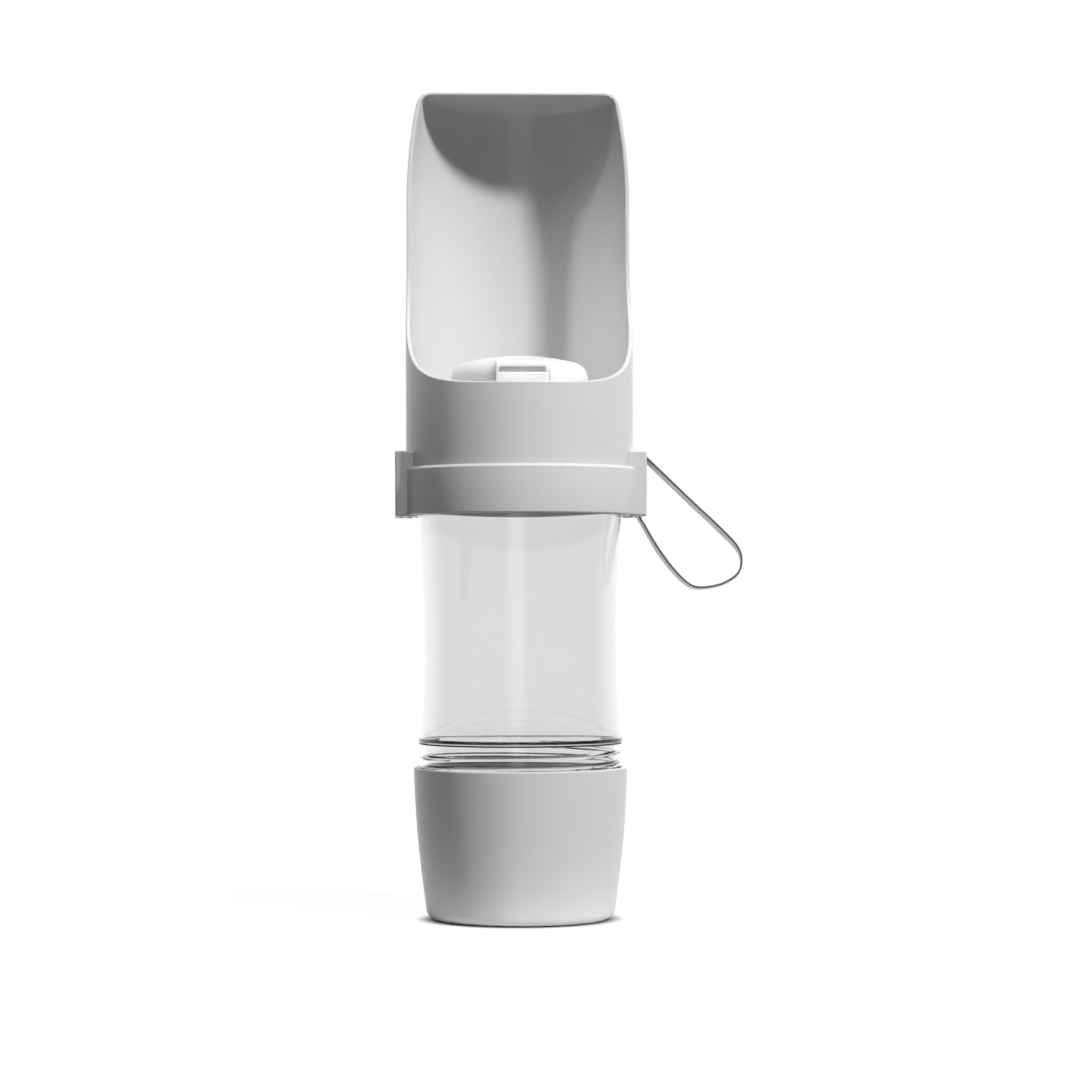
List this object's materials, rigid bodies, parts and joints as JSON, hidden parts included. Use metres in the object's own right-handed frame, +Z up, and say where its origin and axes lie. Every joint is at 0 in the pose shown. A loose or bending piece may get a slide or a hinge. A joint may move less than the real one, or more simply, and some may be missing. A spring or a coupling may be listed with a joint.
{
  "type": "dog travel water bottle",
  "caption": "Clear travel bottle with a screw-on food cup below, a sliding open-fronted drinking hood over a turning outlet dome, and a wrist strap.",
  "frame": {"origin": "middle of the food cup's underside, on the surface that the bottle stands on", "axes": "+Z up along the bottle, -Y out of the hood's open side, +X to the side with the wrist strap"},
  "size_m": [0.1077, 0.0736, 0.2558],
  "materials": {
    "pale_grey_plastic": "satin injection-moulded",
    "white_plastic": "satin injection-moulded",
    "clear_plastic": "clear, glossy",
    "pale_silicone": "soft, matte",
    "dark_silicone": "soft, matte",
    "steel": "plain, stainless",
    "grey_strap": "smooth flat band"
  },
  "bodies": {
    "cup": {"food_cup": "pale_grey_plastic"},
    "cup_seal": {"cup_gasket": "dark_silicone"},
    "bottle": {"bottle_shell": "clear_plastic", "bottle_floor": "clear_plastic"},
    "neck_seal": {"neck_gasket": "pale_silicone"},
    "cap": {"neck_cap": "white_plastic", "slide_seal": "dark_silicone", "valve_seat": "pale_silicone", "vent_valve": "pale_silicone"},
    "knob": {"valve_rotor": "white_plastic", "spindle_o_ring": "dark_silicone", "spindle_washer": "steel", "spindle_screw": "steel", "outlet_dome": "white_plastic"},
    "hood": {"drinking_hood": "pale_grey_plastic", "collar": "pale_grey_plastic", "strap": "grey_strap"}
  },
  "joints": [
    {"name": "cup_lift", "type": "slide", "parent": "cup", "child": "cup_seal", "axis": [0, 0, 1], "range_m": [-0.00681, 0.00601]},
    {"name": "cup_screw", "type": "hinge", "parent": "cup_seal", "child": "bottle", "pos_m": [0, 0, 0.048], "axis": [0, 0, 1], "range_deg": [-816, 720]},
    {"name": "cap_lift", "type": "slide", "parent": "bottle", "child": "neck_seal", "axis": [0, 0, 1], "range_m": [0, 0.00601]},
    {"name": "cap_screw", "type": "hinge", "parent": "neck_seal", "child": "cap", "pos_m": [0, 0, 0.15], "axis": [0, 0, 1], "range_deg": [0, 720]},
    {"name": "hood_slide", "type": "slide", "parent": "cap", "child": "hood", "axis": [0, 0, 1], "range_m": [-0.078, 0]},
    {"name": "outlet_turn", "type": "hinge", "parent": "cap", "child": "knob", "pos_m": [0, 0, 0.162], "axis": [0, 0, 1], "range_deg": [0, 90]}
  ],
  "couplings": [
    {"joint": "cup_lift", "follows": "cup_screw", "m_per_rad": 0.00047746},
    {"joint": "cap_lift", "follows": "cap_screw", "m_per_rad": 0.00047746}
  ]
}
